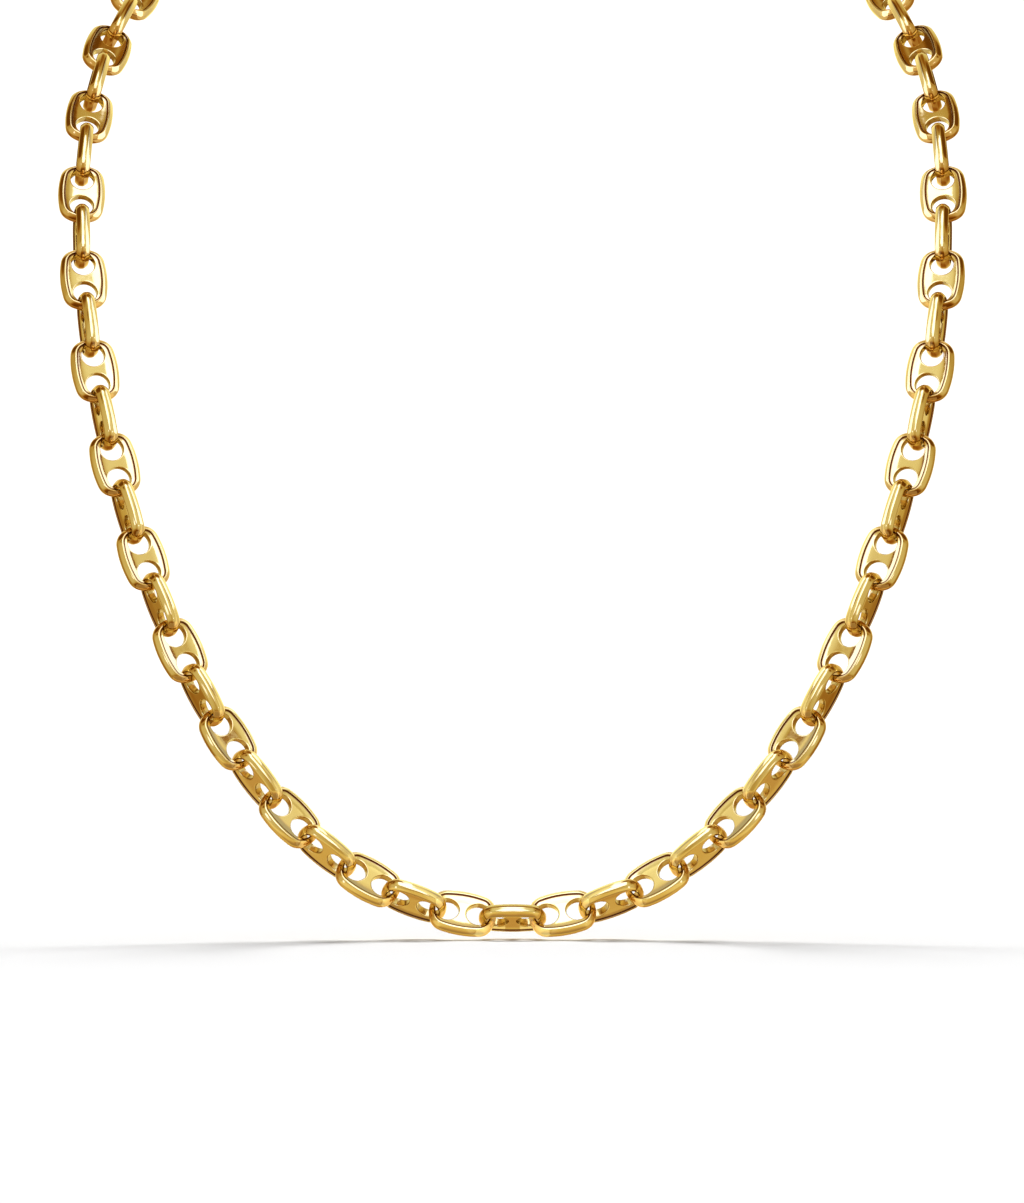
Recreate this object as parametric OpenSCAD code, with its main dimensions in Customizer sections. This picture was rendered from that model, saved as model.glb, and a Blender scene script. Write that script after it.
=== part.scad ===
// Mariner link chain, a necklace worn as a loop round the neck.
// Every link is one puffed oval rim with a bar across it, and each link is a quarter turn
// from the two that it holds. The loop hangs from the nape, where a plain barrel clasp closes it.
// Millimetres. X is to the right, Y away from the viewer and Z up, with the nape at the origin.

/* [Link] */
// Length of a link over its rim
link_length = 9.8; // [9.6:0.1:10.4]
// Width of a link over its rim
link_width = 7; // [6.8:0.1:7.4]
// Depth of the rim, through the link
rim_depth = 2; // [1.8:0.05:2.1]
// Width of the rim at the link's ends, its inner bevel included
rim_width = 1.05; // [1:0.05:1.1]
// How much wider the rim is along the link's sides
rim_extra = 0.15; // [0:0.05:0.3]
// Width and depth of the puffed outer edge
edge_width = 0.35; // [0.25:0.05:0.4]
edge_depth = 0.5; // [0.3:0.05:0.6]
// Width of the bevel from the rim down to the plate
bevel_width = 0.45; // [0.35:0.05:0.55]
// Thickness of the plate inside the rim
plate_depth = 1.2; // [1.1:0.05:1.3]
// Width of the bar between the two round holes, where it is narrowest
bar_width = 1.1; // [0.9:0.05:1.3]
// Radius of the blunt end of the outline
end_radius = 4.4; // [4.3:0.1:4.6]
// Radius of the corner between end and side
corner_radius = 2.3; // [2.2:0.1:2.4]
// Radius of the long, gently bowed side
side_radius = 14; // [13:0.5:16]

/* [Chain] */
// Links on each side of the lowest one
links_per_side = 37; // [35:2:39]
// Free play between two links that hold each other
link_play = 0.4; // [0.38:0.02:0.48]

/* [Clasp] */
// Length of the barrel
barrel_length = 8; // [7:0.5:10]
// Diameter of the barrel
barrel_diameter = 5; // [4.5:0.1:6]
// Radius of the rounding at the barrel's ends
barrel_rounding = 1.2; // [0.8:0.1:1.6]
// Width and depth of the groove round the barrel's middle
groove_width = 0.4; // [0.2:0.1:0.8]
groove_depth = 0.3; // [0.2:0.05:0.5]
// Thickness of the wire of the two eyes
eye_wire = 1.2; // [1:0.05:1.4]
// Diameter of the hole in an eye
eye_hole = 3.8; // [3.7:0.1:4.2]

/* [Hidden] */
$fn = 48;

GOLD = "#D9B44A";

// Distance between the middles of two links that hold each other.
pitch = link_length - 2 * rim_width - link_play;
// The holes reach from the bar to just under the rim, so the next link bears on the rim.
hole_bite = 0.15;
hole_diameter = link_length / 2 - rim_width - bar_width / 2 + hole_bite;
hole_place = (bar_width + hole_diameter) / 2;

// Centres of the arcs of the outline. The corner's arc is tangent to the end's and the side's.
end_x = link_length / 2 - end_radius;
side_y = link_width / 2 - side_radius;
end_reach = end_radius - corner_radius;
side_reach = side_radius - corner_radius;
centre_gap = norm([end_x, side_y]);
along_gap = (end_reach ^ 2 - side_reach ^ 2 + centre_gap ^ 2) / (2 * centre_gap);
off_gap = sqrt(end_reach ^ 2 - along_gap ^ 2);
gap_line = [-end_x, side_y] / centre_gap;
corner_x = end_x + along_gap * gap_line.x - off_gap * gap_line.y;
corner_y = along_gap * gap_line.y + off_gap * gap_line.x;
// Angles at which one arc gives way to the next.
end_angle = atan2(corner_y, corner_x - end_x);
side_angle = atan2(corner_y - side_y, corner_x);
// The outline has sixteen flat sides, each tangent to it, and these are the ways that they face.
SIDES = [for (turn = [0, 180], a = [0, 26, 52, 78, 90, 102, 128, 154]) turn + a];

// Middle line of the right half of the loop: points that pull a smooth curve, one every second
// link, from the lowest link to the nape: to the right, away from the viewer, up.
ROUTE = [
    [0, 0.5, -0.5], [13, 0.5, 1.5], [25, 1, 7.5], [35.5, 1.5, 17.5], [44, 2.5, 30],
    [51, 4, 44.5], [56.5, 7, 60], [60.5, 10.5, 75.5], [63, 15.5, 91], [64, 22.5, 105],
    [63.5, 31, 118], [61.5, 41, 129], [57.5, 52, 138.5], [53, 64.5, 145], [48, 78, 149],
    [41.5, 91.5, 151], [33.5, 104, 151], [23.5, 114, 150.5], [12, 120.5, 150], [0, 123, 149.5]
];
ROUTE_STEPS = 8;
// The way that the loop faces, forward and up, and how far a link is rolled from it
// towards the inside of the loop: link number, degrees.
FACING = [0, -cos(45), sin(45)];
ROLL = [[0, -20], [1, -12], [2, -7], [4, -2], [6, 3], [10, 7], [20, 8], [22, 16], [24, 24],
        [28, 26], [30, 21], [32, 13], [34, 4], [37, -3]];

function unit(v) = v / norm(v);
function mirrored(p) = [-p.x, p.y, p.z];
function route_knot(i) =
    i < 0 ? mirrored(ROUTE[-i]) : i < len(ROUTE) ? ROUTE[i] : mirrored(ROUTE[2 * len(ROUTE) - 2 - i]);
// A smooth curve near the points: u is a point's number and the share of the way to the next.
function route_point(u) =
    let (i = floor(u), t = u - i)
    ((1 - t) ^ 3 * route_knot(i - 1) + (3 * t ^ 3 - 6 * t ^ 2 + 4) * route_knot(i)
     + (1 + 3 * t + 3 * t ^ 2 - 3 * t ^ 3) * route_knot(i + 1) + t ^ 3 * route_knot(i + 2)) / 6;
route_count = (len(ROUTE) - 1) * ROUTE_STEPS;
route_points = [for (i = [0 : route_count]) route_point(i / ROUTE_STEPS)];
route_lengths = [for (i = 0, s = 0; i <= route_count;
                      i = i + 1, s = i > route_count ? s : s + norm(route_points[i] - route_points[i - 1])) s];
route_rows = [for (axis = [0 : 2]) [for (i = [0 : route_count]) [route_lengths[i], route_points[i][axis]]]];

// The loop is drawn to the length of its links and clasp, and its nape is the origin.
eye_reach = barrel_length / 2 - eye_wire / 4 + eye_hole;
clasp_span = 2 * eye_reach - link_play;
half_loop = (links_per_side + 0.5) * pitch + clasp_span / 2;
route_scale = half_loop / route_lengths[route_count];
nape = route_points[route_count];
function run_point(s) =
    s < 0 ? mirrored(run_point(-s))
          : route_scale * ([for (row = route_rows) lookup(s / route_scale, row)] - nape);

// Frame of a piece that spans from a to b: X along it, Z out of its flat side.
function span_frame(a, b, turn) =
    let (x = unit(b - a), f = unit(FACING - (FACING * x) * x), m = cross(f, x),
         z = cos(turn) * f + sin(turn) * m, y = cross(z, x), c = (a + b) / 2)
    [[x.x, y.x, z.x, c.x], [x.y, y.y, z.y, c.y], [x.z, y.z, z.z, c.z], [0, 0, 0, 1]];

// How far the outline lies from the link's middle on the side that faces a.
function reach(a) =
    let (q = abs(a % 180), t = q > 90 ? 180 - q : q)
    t < end_angle ? end_x * cos(t) + end_radius
    : t < side_angle ? corner_x * cos(t) + corner_y * sin(t) + corner_radius
    : side_y * sin(t) + side_radius;
// Where two straight lines meet that face a and b and lie g and h from the middle.
function crossing(a, g, b, h) = [g * sin(b) - h * sin(a), h * cos(a) - g * cos(b)] / sin(b - a);
// Corners of the outline, drawn in by a width that grows by extra towards the link's sides.
function outline(inset, extra) =
    [for (i = [0 : len(SIDES) - 1])
        let (a = SIDES[i], b = i + 1 < len(SIDES) ? SIDES[i + 1] : SIDES[0] + 360)
        crossing(a, reach(a) - inset - extra * sin(a) ^ 2, b, reach(b) - inset - extra * sin(b) ^ 2)];
function level(z, inset, extra = 0) = [for (p = outline(inset, extra)) [p.x, p.y, z]];

// The link before its holes: the plate's underside, the rim round to the top, and the plate's top.
module link_body() {
    top = rim_depth / 2;
    floor_z = plate_depth / 2;
    levels = [
        level(-floor_z, rim_width, rim_extra), level(-top, rim_width - bevel_width, rim_extra),
        level(-top, edge_width), level(edge_depth - top, 0), level(top - edge_depth, 0),
        level(top, edge_width), level(top, rim_width - bevel_width, rim_extra),
        level(floor_z, rim_width, rim_extra)
    ];
    n = len(SIDES);
    last = (len(levels) - 1) * n;
    polyhedron(
        points = [for (l = levels, p = l) p],
        faces = concat(
            [[for (i = [0 : n - 1]) i]],
            [for (l = [0 : len(levels) - 2], i = [0 : n - 1])
                [l * n + i, l * n + n + i, l * n + n + (i + 1) % n, l * n + (i + 1) % n]],
            [[for (i = [n - 1 : -1 : 0]) last + i]]));
}

module mariner_link() {
    difference() {
        link_body();
        for (side = [-1, 1])
            linear_extrude(height = 1.5 * plate_depth, center = true) intersection() {
                polygon(outline(rim_width, rim_extra));
                translate([side * hole_place, 0]) circle(d = hole_diameter);
            }
    }
}

// The links with these numbers along the loop, flat and on edge by turns.
module links(from, to) {
    color(GOLD) for (k = [from : to]) {
        turn = lookup(abs(k), ROLL) + 90 * ((abs(k) + 1) % 2);
        multmatrix(span_frame(run_point((k - 0.5) * pitch), run_point((k + 0.5) * pitch), turn)) mariner_link();
    }
}

// The links left of the lowest one, as seen from the front.
module links_left() {
    links(-links_per_side, -1);
}

// The lowest link and those to its right.
module links_right() {
    links(0, links_per_side);
}

// Half of the barrel's outline, from its axis.
module barrel_outline() {
    inner = barrel_diameter / 2 - barrel_rounding;
    translate([0, -barrel_length / 2]) square([inner, barrel_length]);
    difference() {
        translate([0, barrel_rounding - barrel_length / 2])
            square([barrel_diameter / 2, barrel_length - 2 * barrel_rounding]);
        translate([barrel_diameter / 2 - groove_depth, -groove_width / 2])
            square([2 * groove_depth, groove_width]);
    }
    for (side = [-1, 1]) translate([inner, side * (barrel_length / 2 - barrel_rounding)])
        circle(r = barrel_rounding);
}

// A plain barrel with an eye at each end, one solid, which holds the last links.
module clasp() {
    last_turn = ROLL[len(ROLL) - 1][1] + 90;
    last_joint = run_point((links_per_side + 0.5) * pitch);
    color(GOLD) multmatrix(span_frame(last_joint, mirrored(last_joint), last_turn)) {
        rotate([0, 90, 0]) rotate_extrude() barrel_outline();
        for (side = [-1, 1]) translate([side * (eye_reach - eye_hole / 2), 0, 0])
            rotate_extrude() translate([(eye_hole + eye_wire) / 2, 0]) circle(d = eye_wire);
    }
}

links_left();
links_right();
clasp();
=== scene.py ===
"""A mariner link chain, worn as a loop and closed at the nape, in its studio."""

import math

import bpy
import numpy as np
from bpy.props import FloatProperty, FloatVectorProperty, PointerProperty
from mathutils import Matrix, Vector
from mathutils.geometry import delaunay_2d_cdt


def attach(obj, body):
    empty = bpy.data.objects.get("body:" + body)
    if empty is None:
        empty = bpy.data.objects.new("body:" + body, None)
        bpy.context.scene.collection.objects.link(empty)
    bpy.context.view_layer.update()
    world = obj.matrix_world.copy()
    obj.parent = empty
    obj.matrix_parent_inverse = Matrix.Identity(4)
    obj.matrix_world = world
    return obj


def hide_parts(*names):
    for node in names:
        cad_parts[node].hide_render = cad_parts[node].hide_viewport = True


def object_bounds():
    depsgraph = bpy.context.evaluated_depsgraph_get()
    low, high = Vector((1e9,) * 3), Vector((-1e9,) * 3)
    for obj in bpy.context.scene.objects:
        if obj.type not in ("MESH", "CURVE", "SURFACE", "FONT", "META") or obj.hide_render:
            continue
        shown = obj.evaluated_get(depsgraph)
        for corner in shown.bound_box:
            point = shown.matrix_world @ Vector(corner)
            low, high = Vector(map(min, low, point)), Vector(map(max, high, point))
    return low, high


bl_info = {
    "name": "Mariner Link Chain",
    "version": (1, 0, 0),
    "blender": (4, 5, 0),
    "location": "3D View > Sidebar > Chain",
    "description": "Builds a polished mariner link chain, its clasp and its studio",
    "category": "Object",
}

MM = 0.001

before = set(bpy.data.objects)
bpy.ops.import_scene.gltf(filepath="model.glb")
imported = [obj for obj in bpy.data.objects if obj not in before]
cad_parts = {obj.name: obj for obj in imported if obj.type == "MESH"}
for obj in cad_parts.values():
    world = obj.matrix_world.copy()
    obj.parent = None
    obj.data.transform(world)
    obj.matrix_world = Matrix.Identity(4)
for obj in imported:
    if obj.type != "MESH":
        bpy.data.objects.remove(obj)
CAD_BOUNDS = [list(corner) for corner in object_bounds()]
# Height of the CAD model's lowest point, just above the floor.
LOWEST = CAD_BOUNDS[0][2]


def linear(hex_colour):
    """Turn an sRGB hex value into the linear colour that Blender works in."""
    values = [int(hex_colour[i : i + 2], 16) / 255 for i in (1, 3, 5)]
    return [v / 12.92 if v <= 0.04045 else ((v + 0.055) / 1.055) ** 2.4 for v in values]


def clamp(value):
    """The value, kept between 0 and 1."""
    return max(0, min(1, value))


def length(name, description, millimetres, low, high):
    """A length property whose default and limits are given in millimetres."""
    return FloatProperty(
        name=name,
        description=description,
        default=millimetres * MM,
        min=low * MM,
        max=high * MM,
        precision=5,
        subtype="DISTANCE",
        unit="LENGTH",
    )


def colour(name, description, hex_colour):
    """A colour property whose default is an sRGB hex value."""
    return FloatVectorProperty(
        name=name,
        description=description,
        default=linear(hex_colour),
        min=0,
        max=1,
        size=3,
        subtype="COLOR",
    )


class LinkSizes(bpy.types.PropertyGroup):
    """Sizes of one link, as the CAD links have them, and of its finer forms."""

    link_length: length("Length", "Length of a link over its rim", 9.8, 9, 11)
    link_width: length("Width", "Width of a link over its rim", 7, 6, 8)
    rim_depth: length("Rim Depth", "Depth of the rim through the link", 2, 1.6, 2.4)
    rim_extra: length("Rim Extra", "How much wider the rim is along the sides", 0.15, 0, 0.4)
    plate_depth: length("Plate Depth", "Thickness of the recessed plate", 1.2, 1, 1.4)
    bar_width: length("Bar Width", "Narrowest width of the bar between holes", 1.1, 0.8, 1.4)
    hole_width: length("Hole Width", "Diameter of the two round holes", 3.45, 3.2, 3.7)
    lip: length("Lip", "Width of the rounded lip round each hole", 0.14, 0.03, 0.2)
    plate_middle: length("Plate Middle", "Thickness of the plate at its middle", 1.2, 0.9, 1.4)
    flare: length("Flare", "How far the plate rises to the rim on each side", 0.21, 0, 0.35)
    flare_width: length("Flare Width", "How far in from the rim the plate rises", 1.3, 0.5, 2)
    end_radius: length("End Radius", "Radius of the blunt end of the outline", 4.4, 4.2, 4.7)
    corner_radius: length("Corner Radius", "Radius between end and side", 2.3, 2.1, 2.5)
    side_radius: length("Side Radius", "Radius of the gently bowed side", 14, 12, 17)


class ClaspSizes(bpy.types.PropertyGroup):
    """Sizes of the plain barrel clasp."""

    barrel_length: length("Barrel Length", "Length of the barrel", 8, 7, 10)
    barrel_width: length("Barrel Width", "Diameter of the barrel", 5, 4, 6)
    rounding: length("Rounding", "Radius of the rounding at the barrel's ends", 1.2, 0.8, 1.6)
    groove_width: length("Groove Width", "Width of the groove round the middle", 0.4, 0.2, 0.8)
    groove_depth: length("Groove Depth", "Depth of the groove round the middle", 0.3, 0.1, 0.5)
    eye_wire: length("Eye Wire", "Thickness of the eyes' wire", 1.2, 1, 1.4)
    eye_hole: length("Eye Hole", "Diameter of the hole in an eye", 3.8, 3.4, 4.2)


class GoldFinish(bpy.types.PropertyGroup):
    """Colour and polish of the gold."""

    bright: colour("Bright Gold", "Colour of the clean polished metal", "#EADA94")
    deep: colour("Deep Gold", "Colour where the plating lies a little thicker", "#E2CB7A")
    # Painted reflection: the redder colour painted at a link's ends, where the neighbouring
    # links mirror in it.
    joint_reflection: colour("Joint Gold", "Redder metal at the ends of a link", "#DB9840")
    edge: colour("Edge Tint", "Tint of the metal seen from the side", "#FFF2C8")
    # Painted shade: brown painted into the corners at the rim's foot and down the holes'
    # walls, where shade falls.
    corner: colour("Corner Brown", "Colour in the corners that the buff misses", "#602603")
    roughness: FloatProperty(
        name="Roughness",
        description="Roughness of the mirror polish",
        default=0.09,
        min=0.02,
        max=0.4,
        subtype="FACTOR",
    )
    ripple: length("Ripple", "Depth of the polisher's ripples", 0.012, 0, 0.05)


class StageSettings(bpy.types.PropertyGroup):
    """Floor and camera."""

    floor: colour("Floor", "Colour of the pale floor", "#FAFAFA")
    floor_gap: length("Floor Gap", "Gap between the lowest link and the floor", 0.3, 0.1, 20)
    distance: length("Camera Distance", "From the lowest link to the camera", 1000, 500, 2000)
    height: length("Camera Height", "Camera above the lowest link's middle", 46.1, 0, 200)


def add_node(tree, kind, inputs=None, **settings):
    """Add a node; an input is given a value, or another node's output to link to."""
    node = tree.nodes.new(kind)
    for name, value in settings.items():
        setattr(node, name, value)
    for key, value in (inputs or {}).items():
        if isinstance(value, bpy.types.NodeSocket):
            tree.links.new(value, node.inputs[key])
        else:
            node.inputs[key].default_value = value
    return node


def add_mix(tree, share, first, second, blend="MIX"):
    """Add a node that mixes two colours by a share, and give the socket of the result."""
    node = add_node(
        tree,
        "ShaderNodeMix",
        {0: share, 6: first, 7: second},
        data_type="RGBA",
        blend_type=blend,
    )
    return node.outputs[2]


def add_noise(tree, place, grain, detail):
    """Add a noise with lumps about as long as the grain, and give the socket of its value."""
    node = add_node(
        tree, "ShaderNodeTexNoise", {"Vector": place, "Scale": 1 / grain, "Detail": detail}
    )
    return node.outputs["Fac"]


# Roughness that the corners have on top of the polish.
CORNER_DULLNESS = 0.22


def polished_gold(finish):
    """Gold-plated brass, cast, tumbled and buffed to a mirror.

    Buffing leaves shallow ripples about a millimetre long, which bend the reflections at
    their edges, and a haze of fine scratches, drawn coarser than real ones so that they show.
    The metal is painted redder at the ends of a link, as a painted reflection of the
    neighbouring links, and painted brown in the corners, as painted shade.
    """
    material = bpy.data.materials.new("gold_polished_buffed")
    material.use_nodes = True
    tree = material.node_tree
    tree.nodes.clear()
    place = add_node(tree, "ShaderNodeTexCoord").outputs["Object"]
    joint_reflection = add_node(tree, "ShaderNodeAttribute", attribute_name="joint_reflection").outputs["Fac"]
    painted_shade = add_node(tree, "ShaderNodeAttribute", attribute_name="painted_shade").outputs["Fac"]
    plating = add_noise(tree, place, 4 * MM, 2.0)
    metal = add_mix(tree, plating, (*finish.bright, 1), (*finish.deep, 1))
    # Painted reflection: the redder joint colour is mixed in at the link's ends.
    metal = add_mix(tree, joint_reflection, metal, (*finish.joint_reflection, 1))
    # Painted shade: the corner brown is mixed in where the shade mask is set.
    metal = add_mix(tree, painted_shade, metal, (*finish.corner, 1))
    rough = add_node(
        tree,
        "ShaderNodeMapRange",
        {
            "Value": add_noise(tree, place, 0.5 * MM, 4.0),
            "From Min": 0.3,
            "From Max": 0.7,
            "To Min": finish.roughness * 0.7,
            "To Max": finish.roughness * 1.5,
        },
    )
    dull = add_node(
        tree,
        "ShaderNodeMath",
        {0: painted_shade, 1: CORNER_DULLNESS, 2: rough.outputs["Result"]},
        operation="MULTIPLY_ADD",
    )
    ripple = add_noise(tree, place, 1.1 * MM, 1.5)
    bump = add_node(
        tree,
        "ShaderNodeBump",
        {"Height": ripple, "Distance": finish.ripple, "Strength": 1.0},
    )
    shader = add_node(
        tree,
        "ShaderNodeBsdfPrincipled",
        {
            "Base Color": metal,
            "Metallic": 1.0,
            "Roughness": dull.outputs[0],
            "Specular Tint": (*finish.edge, 1),
            "Normal": bump.outputs["Normal"],
        },
    )
    add_node(tree, "ShaderNodeOutputMaterial", {"Surface": shader.outputs["BSDF"]})
    return material


def gold():
    """The one gold of the chain, made once."""
    found = bpy.data.materials.get("gold_polished_buffed")
    return found or polished_gold(bpy.context.scene.gold_finish)


# Edges that turn more than this are sharp, in degrees, and the steps round the barrel.
LINK_SHARP = 38
CLASP_SHARP = 40
BARREL_STEPS = 48


def new_mesh(name, points, faces, sharp_degrees):
    """A smooth mesh whose edges are sharp where they turn more than an angle."""
    mesh = bpy.data.meshes.new(name)
    mesh.from_pydata([tuple(p) for p in points], [], faces)
    mesh.validate()
    mesh.shade_smooth()
    mesh.set_sharp_from_angle(angle=math.radians(sharp_degrees))
    return mesh


def new_object(name, data):
    """An object at the origin with a mesh or other data, in the scene's own collection."""
    item = bpy.data.objects.new(name, data)
    bpy.context.scene.collection.objects.link(item)
    return item


# How far in from the outline the rim's foot lies at the link's ends, and how far the plate
# goes on under the rim.
RIM_FOOT = 0.74 * MM
PLATE_TUCK = 0.07 * MM
# Points round each hole.
HOLE_STEPS = 28
# The plate has more points near the holes' lips and near the rim's foot, at these distances.
LIP_RING = 0.08 * MM
FOOT_RINGS = (0, 0.09 * MM, 0.25 * MM, 0.55 * MM)
# The grid of points on the rest of the plate: its spacing, its rows each way from the middle,
# and how far it keeps from the lips and the foot.
GRID_GAP = 0.36 * MM
GRID_REACH = 12
GRID_OFF_LIP = 0.25 * MM
GRID_OFF_FOOT = 0.95 * MM
# Share of the corners' painted shade, a brown, on the walls of the holes.
WALL_PAINTED_SHADE = 0.25
# The painted reflection of the neighbouring links makes the metal redder from this far along
# the link, over this length, by this share.
JOINT_START = 3.1 * MM
JOINT_FADE = 1.5 * MM
JOINT_SHARE = 0.5


def link_outline(sizes):
    """Points of a link's outline with the way that each faces: eight arcs, end to end."""
    end_x = sizes.link_length / 2 - sizes.end_radius
    side_y = sizes.link_width / 2 - sizes.side_radius
    end_reach = sizes.end_radius - sizes.corner_radius
    side_reach = sizes.side_radius - sizes.corner_radius
    gap = math.hypot(end_x, side_y)
    along = (end_reach**2 - side_reach**2 + gap**2) / (2 * gap)
    off = math.sqrt(end_reach**2 - along**2)
    ux, uy = -end_x / gap, side_y / gap
    corner = (end_x + along * ux - off * uy, along * uy + off * ux)
    end_turn = math.atan2(corner[1], corner[0] - end_x)
    side_turn = math.atan2(corner[1] - side_y, corner[0])
    # One quarter's arcs: middle, radius, turns of its ends, and the parts of it with a point.
    arcs = (
        ((end_x, 0), sizes.end_radius, 0, end_turn, (1, 3, 5, 7), 8),
        (corner, sizes.corner_radius, end_turn, side_turn, range(7), 6),
        ((0, side_y), sizes.side_radius, side_turn, math.pi / 2, (1, 2.5, 4), 5),
    )
    points = []
    for middle, radius, first, last, parts, whole in arcs:
        for part in parts:
            turn = first + (last - first) * part / whole
            face = np.array([math.cos(turn), math.sin(turn)])
            points.append((np.array(middle) + radius * face, face))
    left = [(p * (-1, 1), n * (-1, 1)) for p, n in reversed(points)]
    half = points + left
    return half + [(-p, -n) for p, n in half]


def drawn_in(outline, inset, extra):
    """The outline drawn in by an inset that grows by extra towards the link's sides."""
    return [p - n * (inset + extra * n[1] ** 2) for p, n in outline]


def rim_section(sizes):
    """Section of the rim: inset from the outline, share of the extra, height and share of
    painted shade.

    A flat outer band, a flat slope up to the crest and a short wall down into the plate.
    """
    top, floor = sizes.rim_depth / 2, sizes.plate_depth / 2
    upper = [
        (0, 0, 0, 0),
        (0.006 * MM, 0, 0.20 * MM, 0),
        (0.035 * MM, 0.05, 0.36 * MM, 0),
        (0.100 * MM, 0.1, 0.48 * MM, 0),
        (0.200 * MM, 0.2, 0.62 * MM, 0),
        (0.330 * MM, 0.3, 0.785 * MM, 0),
        (0.430 * MM, 0.4, top - 0.105 * MM, 0),
        (0.500 * MM, 0.5, top - 0.040 * MM, 0),
        (0.580 * MM, 0.6, top - 0.004 * MM, 0),
        (RIM_FOOT - 0.09 * MM, 0.8, top - 0.010 * MM, 0),
        # Painted shade: the last value is the share of brown painted at the rim's foot, where
        # shade falls.
        (RIM_FOOT - 0.05 * MM, 0.9, top - 0.050 * MM, 0.5),
        (RIM_FOOT - 0.03 * MM, 1, top - 0.120 * MM, 1),
        (RIM_FOOT, 1, floor, 1),
    ]
    lower = [(inset, share, -height, deep) for inset, share, height, deep in upper[:0:-1]]
    return upper + lower


def rim_mesh(sizes, outline):
    """The rim: its section carried round the outline and closed on itself."""
    section = rim_section(sizes)
    points, painted_shade = [], []
    for inset, share, height, deep in section:
        ring = drawn_in(outline, inset, share * sizes.rim_extra)
        points += [(x, y, height) for x, y in ring]
        painted_shade += [deep] * len(ring)
    count, rows = len(outline), len(section)
    faces = []
    for row in range(rows):
        start, after = row * count, (row + 1) % rows * count
        for i in range(count):
            j = (i + 1) % count
            faces.append((start + i, start + j, after + j, after + i))
    return points, faces, painted_shade


def hole_place(sizes):
    """How far the middle of each hole lies from the link's middle."""
    return (sizes.bar_width + sizes.hole_width) / 2


def plate_guides(sizes, outline):
    """Flat points of the plate, and the closed lines that its triangles follow."""
    place, lip = hole_place(sizes), sizes.hole_width / 2 + sizes.lip
    turns = [2 * math.pi * i / HOLE_STEPS for i in range(HOLE_STEPS)]
    loops = [drawn_in(outline, RIM_FOOT - PLATE_TUCK, sizes.rim_extra)]
    for side in (-1, 1):
        for ring in (lip, lip + LIP_RING):
            loops.append(
                [(side * place + ring * math.cos(t), -ring * math.sin(t)) for t in turns]
            )
    loops += [drawn_in(outline, RIM_FOOT + inset, sizes.rim_extra) for inset in FOOT_RINGS]
    points, lines = [], []
    for loop in loops:
        start = len(points)
        points += loop
        lines += [(start + i, start + (i + 1) % len(loop)) for i in range(len(loop))]
    across = [GRID_GAP * i for i in range(-GRID_REACH, GRID_REACH + 1)]
    widest = sizes.link_width / 2 - RIM_FOOT - GRID_OFF_FOOT
    for x in across:
        for y in across:
            if math.hypot(abs(x) - place, y) > lip + GRID_OFF_LIP and abs(y) < widest:
                points.append((x, y))
    return points, lines


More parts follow.
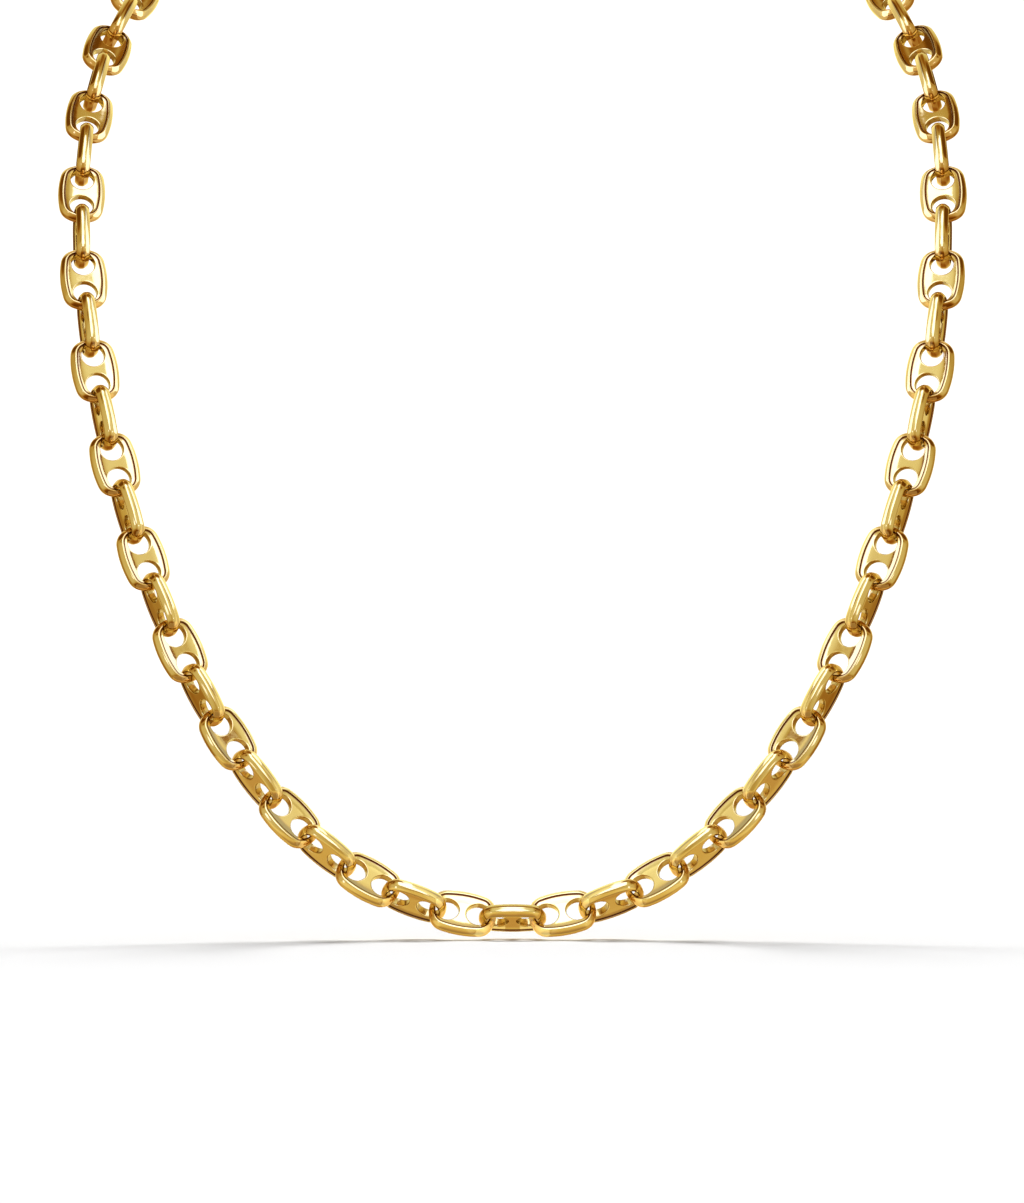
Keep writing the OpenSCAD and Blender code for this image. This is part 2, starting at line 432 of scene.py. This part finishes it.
def plate_mesh(sizes, outline):
    """The plate: a dished sheet with two round holes that flares up to the rim's foot."""
    half, lip = sizes.plate_middle / 2, sizes.lip
    radius, place = sizes.hole_width / 2, hole_place(sizes)
    rim = np.array(drawn_in(outline, RIM_FOOT - PLATE_TUCK, sizes.rim_extra))
    foot = np.array(drawn_in(outline, RIM_FOOT, sizes.rim_extra))
    along = np.roll(foot, -1, 0) - foot

    def to_foot(x, y):
        """Distance from the rim's foot."""
        off = np.array([x, y]) - foot
        share = np.clip((off * along).sum(1) / (along**2).sum(1), 0, 1)
        return np.hypot(*(off - share[:, None] * along).T).min()

    def rise(x, y):
        """How far the plate's face has risen towards the rim."""
        return sizes.flare * max(0, 1 - to_foot(x, y) / sizes.flare_width) ** 2

    def from_hole(x, y):
        """Distance from the middle of the nearer hole."""
        return math.hypot(abs(x) - place, y)

    def on_plate(x, y):
        """Whether a place is inside the rim and outside the holes' lips."""
        ahead = np.roll(rim, -1, 0)
        turn = (ahead[:, 0] - rim[:, 0]) * (y - rim[:, 1])
        turn -= (ahead[:, 1] - rim[:, 1]) * (x - rim[:, 0])
        return turn.min() > -1e-12 and from_hole(x, y) > radius + 0.98 * lip

    guides, lines = plate_guides(sizes, outline)
    points, _, triangles, _, _, _ = delaunay_2d_cdt(
        [Vector(p) for p in guides], lines, [], 0, 0.0001 * MM
    )
    total = len(points)
    heights = [half + rise(x, y) for x, y in points]
    solid = [(p.x, p.y, face * up) for face in (1, -1) for p, up in zip(points, heights)]
    # Painted shade, a brown, for 0.09 mm from the rim's foot, and none from 0.19 mm on.
    painted_shade = [clamp(1.9 - to_foot(x, y) / (0.1 * MM)) for x, y in points] * 2
    # Both faces of the plate, and the lines that only one triangle of a face has.
    faces, border = [], set()
    for a, b, c in triangles:
        pa, pb, pc = points[a], points[b], points[c]
        if not on_plate((pa.x + pb.x + pc.x) / 3, (pa.y + pb.y + pc.y) / 3):
            continue
        if (pb.x - pa.x) * (pc.y - pa.y) - (pb.y - pa.y) * (pc.x - pa.x) < 0:
            b, c = c, b
        faces += [(a, b, c), (a + total, c + total, b + total)]
        for line in ((a, b), (b, c), (c, a)):
            if line[::-1] in border:
                border.remove(line[::-1])
            else:
                border.add(line)
    # Shares of the lip's width and depth at points down its quarter round.
    rounding = [
        (1 - math.cos(math.radians(turn)), 1 - math.sin(math.radians(turn)))
        for turn in (60, 30, 0)
    ]
    walls = {}

    def wall_column(i):
        """Points down the wall of the hole under a point of its lip."""
        if i not in walls:
            x, y = points[i]
            middle = math.copysign(place, x)
            out = Vector((x - middle, y)).normalized()
            walls[i] = [i]
            for face in (1, -1):
                for wide, down in rounding[::face]:
                    reach = out * (radius + wide * lip)
                    up = half - down * lip + rise(middle + reach.x, reach.y)
                    walls[i].append(len(solid))
                    solid.append((middle + reach.x, reach.y, face * up))
                    # Painted shade down the hole's wall, browner the deeper it goes.
                    painted_shade.append(WALL_PAINTED_SHADE * down)
            walls[i].append(i + total)
        return walls[i]

    for a, b in sorted(border):
        middle = (points[a] + points[b]) / 2
        if from_hole(middle.x, middle.y) > radius + lip + 0.03 * MM:
            faces.append((a, a + total, b + total, b))
            continue
        first, second = wall_column(a), wall_column(b)
        for row in range(len(first) - 1):
            faces.append((first[row], first[row + 1], second[row + 1], second[row]))
    return solid, faces, painted_shade


def link_object(sizes):
    """One link round the origin, X along it and Z out of its flat side.

    Its attributes say where shade is painted brown and where a redder reflection of the
    neighbouring links is painted.
    """
    outline = link_outline(sizes)
    rim_points, rim_faces, rim_painted_shade = rim_mesh(sizes, outline)
    plate_points, plate_faces, plate_painted_shade = plate_mesh(sizes, outline)
    shift = len(rim_points)
    faces = rim_faces + [tuple(i + shift for i in face) for face in plate_faces]
    mesh = new_mesh("one_link", rim_points + plate_points, faces, LINK_SHARP)
    # Painted shade where the rim meets the plate and down the holes' walls.
    painted_shade = mesh.attributes.new("painted_shade", "FLOAT", "POINT")
    painted_shade.data.foreach_set("value", rim_painted_shade + plate_painted_shade)
    # Painted reflection: the link's ends are painted redder, where the neighbouring links
    # mirror in them.
    joint_reflection = mesh.attributes.new("joint_reflection", "FLOAT", "POINT")
    for vertex, value in zip(mesh.vertices, joint_reflection.data):
        value.value = JOINT_SHARE * clamp((abs(vertex.co.x) - JOINT_START) / JOINT_FADE)
    return new_object("one_link", mesh)


def solids_of(node):
    """Corners of the triangles of each separate solid in a CAD node.

    Triangles belong to one solid if they share a corner to the micrometre.
    """
    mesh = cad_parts[node].data
    mesh.calc_loop_triangles()
    corners = np.zeros(len(mesh.vertices) * 3, np.float32)
    mesh.vertices.foreach_get("co", corners)
    triangles = np.zeros(len(mesh.loop_triangles) * 3, np.int32)
    mesh.loop_triangles.foreach_get("vertices", triangles)
    corners = corners.reshape(-1, 3).astype(float)
    _, merged = np.unique(np.round(corners / (0.001 * MM)), axis=0, return_inverse=True)
    merged = merged.ravel()
    triangles = triangles.reshape(-1, 3)
    root = list(range(merged.max() + 1))

    def find(i):
        while root[i] != i:
            root[i] = root[root[i]]
            i = root[i]
        return i

    for a, b, c in merged[triangles]:
        root[find(a)] = find(b)
        root[find(b)] = find(c)
    groups = {}
    for row, (a, _, _) in zip(triangles, merged[triangles]):
        groups.setdefault(find(a), []).append(row)
    return [corners[np.array(rows)] for rows in groups.values()]


def solid_frame(solid):
    """Middle and turn of a solid: X along its longest axis of mass, Z along its shortest."""
    a, b, c = solid[:, 0], solid[:, 1], solid[:, 2]
    start = solid.reshape(-1, 3).mean(0)
    a, b, c = a - start, b - start, c - start
    parts = np.einsum("ij,ij->i", a, np.cross(b, c)) / 6
    volume = parts.sum()
    middle = (parts[:, None] * (a + b + c) / 4).sum(0) / volume
    total = a + b + c
    spread = np.zeros((3, 3))
    for v in (a, b, c, total):
        spread += np.einsum("i,ij,ik->jk", parts, v, v)
    spread = spread / (20 * volume) - np.outer(middle, middle)
    _, axes = np.linalg.eigh(spread)
    x, y = axes[:, 2], axes[:, 1]
    turn = Matrix(np.column_stack([x, y, np.cross(x, y)]).tolist()).to_quaternion()
    return start + middle, turn


def link_places(node):
    """A point for each link of a CAD node, with its turn as an attribute."""
    places = [solid_frame(solid) for solid in solids_of(node)]
    mesh = bpy.data.meshes.new(node + "_places")
    mesh.from_pydata([tuple(middle) for middle, _ in places], [], [])
    turns = mesh.attributes.new("turn", "QUATERNION", "POINT")
    for i, (_, turn) in enumerate(places):
        turns.data[i].value = turn
    return new_object(node + "_places", mesh)


def links_tree():
    """Geometry Nodes: a link on every point, turned by the point's attribute."""
    tree = bpy.data.node_groups.new("links_on_places", "GeometryNodeTree")
    for name, way, kind in (
        ("Places", "INPUT", "Geometry"),
        ("Link", "INPUT", "Object"),
        ("Metal", "INPUT", "Material"),
        ("Size", "INPUT", "Float"),
        ("Links", "OUTPUT", "Geometry"),
    ):
        tree.interface.new_socket(name=name, in_out=way, socket_type="NodeSocket" + kind)
    given = add_node(tree, "NodeGroupInput")
    link = add_node(tree, "GeometryNodeObjectInfo", {"Object": given.outputs["Link"]})
    turn = add_node(
        tree, "GeometryNodeInputNamedAttribute", {"Name": "turn"}, data_type="QUATERNION"
    )
    placed = add_node(
        tree,
        "GeometryNodeInstanceOnPoints",
        {
            "Points": given.outputs["Places"],
            "Instance": link.outputs["Geometry"],
            "Rotation": turn.outputs["Attribute"],
            "Scale": given.outputs["Size"],
        },
    )
    real = add_node(
        tree, "GeometryNodeRealizeInstances", {"Geometry": placed.outputs["Instances"]}
    )
    metal = add_node(
        tree,
        "GeometryNodeSetMaterial",
        {"Geometry": real.outputs["Geometry"], "Material": given.outputs["Metal"]},
    )
    add_node(tree, "NodeGroupOutput", {"Links": metal.outputs["Geometry"]})
    return tree


def chain_piece(name, node, tree, link):
    """Every link of one CAD node as one plain mesh."""
    places = link_places(node)
    modifier = places.modifiers.new("links", "NODES")
    modifier.node_group = tree
    values = {"Link": link, "Metal": gold(), "Size": 1.0}
    for socket in tree.interface.items_tree:
        if socket.in_out == "INPUT" and socket.name in values:
            modifier[socket.identifier] = values[socket.name]
    bpy.context.view_layer.update()
    seen = places.evaluated_get(bpy.context.evaluated_depsgraph_get())
    mesh = bpy.data.meshes.new_from_object(seen)
    mesh.name = name
    places.modifiers.remove(modifier)
    bpy.data.objects.remove(places)
    return new_object(name, mesh)


class CHAIN_OT_links(bpy.types.Operator):
    """Make the links of both halves of the chain"""

    bl_idname = "chain.links"
    bl_label = "Make Links"

    def execute(self, context):
        link = link_object(context.scene.link_sizes)
        tree = links_tree()
        for node in ("links_left", "links_right"):
            piece = chain_piece("polished_" + node, node, tree, link)
            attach(piece, "root")
            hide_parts(node)
        bpy.data.objects.remove(link)
        return {"FINISHED"}


def turned(profile, steps):
    """A profile of (place along X, radius) turned round the X axis, its ends closed."""
    points, faces = [], []
    for x, radius in profile:
        for i in range(steps):
            turn = 2 * math.pi * i / steps
            points.append((x, radius * math.cos(turn), radius * math.sin(turn)))
    for row in range(len(profile) - 1):
        for i in range(steps):
            j = (i + 1) % steps
            start, after = row * steps, (row + 1) * steps
            faces.append((start + i, after + i, after + j, start + j))
    faces.append(tuple(range(steps)))
    faces.append(tuple(reversed(range((len(profile) - 1) * steps, len(profile) * steps))))
    return points, faces


def eye(middle, ring_radius, wire_radius):
    """A ring of round wire in the XY plane round a point on the X axis."""
    around, across = 36, 14
    points, faces = [], []
    for i in range(around):
        turn = 2 * math.pi * i / around
        for j in range(across):
            tilt = 2 * math.pi * j / across
            reach = ring_radius + wire_radius * math.cos(tilt)
            x, y = middle + reach * math.cos(turn), reach * math.sin(turn)
            points.append((x, y, wire_radius * math.sin(tilt)))
            ahead, up = (i + 1) % around, (j + 1) % across
            faces.append(
                (i * across + j, ahead * across + j, ahead * across + up, i * across + up)
            )
    return points, faces


def barrel_profile(sizes):
    """The barrel's radius from end to end: rounded ends and a groove in the middle."""
    half, radius = sizes.barrel_length / 2, sizes.barrel_width / 2
    corner, groove = sizes.rounding, sizes.groove_width / 2
    left = []
    for degrees in range(90, -1, -15):
        turn = math.radians(degrees)
        inset = corner * (1 - math.sin(turn))
        left.append((-half + inset, radius - corner + corner * math.cos(turn)))
    left += [(-groove, radius), (-groove * 0.6, radius - sizes.groove_depth)]
    return left + [(-x, r) for x, r in reversed(left)]


class CHAIN_OT_clasp(bpy.types.Operator):
    """Make the plain barrel clasp with its two eyes"""

    bl_idname = "chain.clasp"
    bl_label = "Make Clasp"

    def execute(self, context):
        sizes = context.scene.clasp_sizes
        points, faces = turned(barrel_profile(sizes), BARREL_STEPS)
        ring = (sizes.eye_hole + sizes.eye_wire) / 2
        reach = sizes.barrel_length / 2 - sizes.eye_wire / 4 + sizes.eye_hole / 2
        for side in (-1, 1):
            more_points, more_faces = eye(side * reach, ring, sizes.eye_wire / 2)
            shift = len(points)
            points += more_points
            faces += [tuple(i + shift for i in face) for face in more_faces]
        mesh = new_mesh("clasp_barrel", points, faces, CLASP_SHARP)
        middle, turn = solid_frame(solids_of("clasp")[0])
        mesh.transform(Matrix.Translation(Vector(middle)) @ turn.to_matrix().to_4x4())
        mesh.materials.append(gold())
        piece = new_object("clasp_barrel", mesh)
        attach(piece, "root")
        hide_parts("clasp")
        return {"FINISHED"}


# Tone of the room that the gold mirrors, from the darkest share to the lightest, and the
# share that the room has where no patch changes it.
ROOM_TONES = (
    (0.2, "#482004"),
    (0.39, "#9C6420"),
    (0.59, "#CEB278"),
    (0.745, "#F0E4C8"),
    (0.88, "#FFFFFF"),
)
ROOM_SHARE = 0.57
# Soft patches round the chain: turn from the front towards either side and height, both in
# degrees, where the patch is full and where it ends, and how much it adds to the room's tone.
PATCHES = (
    (0, 42, 12, 44, 0.22),
    (180, 15, 15, 60, 0.3),
    (25, -60, 8, 34, -0.3),
    (100, 46, 14, 26, -0.3),
    (57, 30, 3, 8, -0.24),
    (46, -4, 14, 40, 0.11),
    (120, -9, 12, 36, -0.12),
    (108, -50, 14, 40, -0.07),
    (180, -44, 12, 34, -0.16),
    (180, 78, 8, 24, -0.2),
)
# Lamps among them, in the same form, and how bright each is.
LAMPS = (
    (0, 66, 11, 14, 3.4),
    (6, 28, 12, 15, 3.0),
    (8, 46, 7, 10, 3.0),
    (6, 8, 6, 9, 3.0),
    (36, -6, 3, 6, 2.6),
)
# Cool light, which the yellow metal mirrors as plain white.
LAMP_TINT = "#A8B6FF"
# Grey of the world as it lights matt things, and as the camera sees it.
WORLD_FILL = (0.2, 0.2, 0.2, 1)
WORLD_BACK = (1.2, 1.2, 1.2, 1)
# Soft boxes on the middle plane, in front of the loop, behind it and inside it, one of each
# facing either side: name, Y and Z of its place, size, watts and tint.
SOFT_BOXES = (
    ("front", (-0.388, -0.02), (0.45, 0.5), 0.12, "#DFEBFF"),
    ("back", (0.13, -0.11), (0.56, 0.32), 0.31, "#DFEFFF"),
    ("strip", (-0.1175, -0.0275), (0.065, 0.115), 0.06, LAMP_TINT),
)
# A warm card on the floor below the lowest links: Y of its place, size, watts and tint.
LOW_CARD = (-0.125, (0.16, 0.08), 0.013, "#F0E0B8")
# The overhead light: watts a square metre, and in degrees how wide it looks and how far it
# leans to the front.
SUN_STRENGTH = 3.45
SUN_WIDTH = 30
SUN_LEAN = 36
# The floor is a disc of this radius round a point this far to the front of the nape.
FLOOR_RADIUS = 1.6
FLOOR_FORWARD = 0.06
# The middle of the lowest link, in front of which the camera stands.
LOWEST_LINK = (-0.07 * MM, -122.2 * MM, -149.7 * MM)
# A picture 1203 pixels high shows 6920 of them for a metre that is a metre away.
SENSOR_HEIGHT = 36
LENS = SENSOR_HEIGHT * 6920 / 1203


def patches_total(tree, way, patches):
    """The sum of soft round patches in the directions of a vector socket."""
    total = None
    for turn, height, full, end, strength in patches:
        turn, height = math.radians(turn), math.radians(height)
        facing = (
            math.sin(turn) * math.cos(height),
            -math.cos(turn) * math.cos(height),
            math.sin(height),
        )
        near = add_node(
            tree, "ShaderNodeVectorMath", {0: way, 1: facing}, operation="DOT_PRODUCT"
        )
        patch = add_node(
            tree,
            "ShaderNodeMapRange",
            {
                "Value": near.outputs["Value"],
                "From Min": math.cos(math.radians(end)),
                "From Max": math.cos(math.radians(full)),
                "To Min": 0.0,
                "To Max": strength,
            },
            interpolation_type="SMOOTHSTEP",
        ).outputs["Result"]
        if total is not None:
            patch = add_node(
                tree, "ShaderNodeMath", {0: total, 1: patch}, operation="ADD"
            ).outputs[0]
        total = patch
    return total


def studio_world():
    """Room light: a warm room, lighter in front and behind and darker below, with lamps.

    Only mirrored light sees the room. Its left half is the mirror image of its right half.
    """
    world = bpy.data.worlds.new("studio")
    world.use_nodes = True
    tree = world.node_tree
    tree.nodes.clear()
    way = add_node(tree, "ShaderNodeTexCoord").outputs["Generated"]
    apart = add_node(tree, "ShaderNodeVectorMath", {0: way}, operation="ABSOLUTE")
    parts = add_node(tree, "ShaderNodeSeparateXYZ", {"Vector": way})
    sideways = add_node(tree, "ShaderNodeSeparateXYZ", {"Vector": apart.outputs["Vector"]})
    folded = add_node(
        tree,
        "ShaderNodeCombineXYZ",
        {"X": sideways.outputs["X"], "Y": parts.outputs["Y"], "Z": parts.outputs["Z"]},
    ).outputs["Vector"]
    share = add_node(
        tree,
        "ShaderNodeMath",
        {0: patches_total(tree, folded, PATCHES), 1: ROOM_SHARE},
        operation="ADD",
    )
    tones = add_node(tree, "ShaderNodeValToRGB", {"Fac": share.outputs[0]})
    stops = tones.color_ramp.elements
    while len(stops) < len(ROOM_TONES):
        stops.new(1)
    for stop, (place, tone) in zip(stops, ROOM_TONES):
        stop.position = place
        stop.color = (*linear(tone), 1)
    tint = (*linear(LAMP_TINT), 1)
    lamps = add_mix(tree, 1.0, patches_total(tree, folded, LAMPS), tint, "MULTIPLY")
    room = add_mix(tree, 1.0, tones.outputs["Color"], lamps, "ADD")
    ray = add_node(tree, "ShaderNodeLightPath")
    plain = add_mix(tree, ray.outputs["Is Camera Ray"], WORLD_FILL, WORLD_BACK)
    both = add_mix(tree, ray.outputs["Is Glossy Ray"], plain, room)
    light = add_node(tree, "ShaderNodeBackground", {"Color": both, "Strength": 1.0})
    add_node(tree, "ShaderNodeOutputWorld", {"Surface": light.outputs["Background"]})
    bpy.context.scene.world = world


def soft_light(name, place, target, size, watts, tint):
    """A soft box that faces a point and is seen only in the metal."""
    light = bpy.data.lights.new(name, "AREA")
    light.shape = "RECTANGLE"
    light.size, light.size_y = size
    light.energy = watts
    light.color = linear(tint)
    lamp = new_object(name, light)
    lamp.location = place
    lamp.rotation_euler = (Vector(target) - Vector(place)).to_track_quat("-Z", "Y").to_euler()
    lamp.visible_camera = False
    lamp.visible_diffuse = False


def pale_floor(tone, height):
    """A wide round floor of matt paint, which the gold doesn't mirror."""
    steps = 96
    turns = [2 * math.pi * i / steps for i in range(steps)]
    points = [
        (FLOOR_RADIUS * math.cos(turn), FLOOR_RADIUS * math.sin(turn) - FLOOR_FORWARD, height)
        for turn in turns
    ]
    mesh = bpy.data.meshes.new("floor")
    mesh.from_pydata(points, [], [tuple(range(steps))])
    floor = new_object("floor", mesh)
    paint = bpy.data.materials.new("floor_matt_paint")
    paint.use_nodes = True
    shader = paint.node_tree.nodes["Principled BSDF"]
    shader.inputs["Base Color"].default_value = (*tone, 1)
    shader.inputs["Roughness"].default_value = 0.9
    shader.inputs["Specular IOR Level"].default_value = 0.0
    mesh.materials.append(paint)
    floor.visible_glossy = False


def studio_lights(floor_height):
    """The overhead light, the soft boxes on the middle plane and a warm card on the floor."""
    sun = bpy.data.lights.new("overhead_light", "SUN")
    sun.energy = SUN_STRENGTH
    sun.angle = math.radians(SUN_WIDTH)
    key = new_object("overhead_light", sun)
    key.rotation_euler = (math.radians(-SUN_LEAN), 0, 0)
    key.visible_glossy = False
    for name, side in (("left", -1), ("right", 1)):
        for part, place, size, watts, tint in SOFT_BOXES:
            soft_light(
                "middle_soft_box_" + name + "_" + part,
                (side * 0.001, *place),
                (side * 0.1, *place),
                size,
                watts,
                tint,
            )
    y, size, watts, tint = LOW_CARD
    soft_light("low_card", (0, y, floor_height), (0, y, 0), size, watts, tint)


def front_camera(settings):
    """The camera: level, in front of the lowest link and a little above it."""
    view = bpy.data.cameras.new("camera")
    view.sensor_fit = "VERTICAL"
    view.sensor_height = SENSOR_HEIGHT
    view.lens = LENS
    view.clip_end = 20
    camera = new_object("camera", view)
    x, y, z = LOWEST_LINK
    camera.location = (x, y - settings.distance, z + settings.height)
    camera.rotation_euler = (math.pi / 2, 0, 0)
    bpy.context.scene.camera = camera


class CHAIN_OT_stage(bpy.types.Operator):
    """Make the pale floor, the soft light and the camera"""

    bl_idname = "chain.stage"
    bl_label = "Make Stage"

    def execute(self, context):
        settings = context.scene.stage_settings
        height = LOWEST - settings.floor_gap
        pale_floor(settings.floor, height)
        studio_world()
        studio_lights(height)
        front_camera(settings)
        context.scene.view_settings.view_transform = "Standard"
        return {"FINISHED"}


class CHAIN_PT_panel(bpy.types.Panel):
    """Sizes, finish and buttons for the chain"""

    bl_label = "Mariner Link Chain"
    bl_idname = "CHAIN_PT_panel"
    bl_space_type = "VIEW_3D"
    bl_region_type = "UI"
    bl_category = "Chain"

    def draw(self, context):
        scene = context.scene
        groups = (
            ("Link", scene.link_sizes, "chain.links"),
            ("Clasp", scene.clasp_sizes, "chain.clasp"),
            ("Stage", scene.stage_settings, "chain.stage"),
            ("Gold", scene.gold_finish, None),
        )
        for title, group, operator in groups:
            box = self.layout.box()
            box.label(text=title)
            for name in group.__annotations__:
                box.prop(group, name)
            if operator:
                box.operator(operator)


CLASSES = (
    LinkSizes,
    ClaspSizes,
    GoldFinish,
    StageSettings,
    CHAIN_OT_links,
    CHAIN_OT_clasp,
    CHAIN_OT_stage,
    CHAIN_PT_panel,
)


def register():
    for item in CLASSES:
        bpy.utils.register_class(item)
    bpy.types.Scene.link_sizes = PointerProperty(type=LinkSizes)
    bpy.types.Scene.clasp_sizes = PointerProperty(type=ClaspSizes)
    bpy.types.Scene.gold_finish = PointerProperty(type=GoldFinish)
    bpy.types.Scene.stage_settings = PointerProperty(type=StageSettings)


def unregister():
    del bpy.types.Scene.stage_settings
    del bpy.types.Scene.gold_finish
    del bpy.types.Scene.clasp_sizes
    del bpy.types.Scene.link_sizes
    for item in reversed(CLASSES):
        bpy.utils.unregister_class(item)


def main():
    register()
    bpy.ops.chain.links()
    bpy.ops.chain.clasp()
    bpy.ops.chain.stage()


if __name__ == "__main__":
    main()
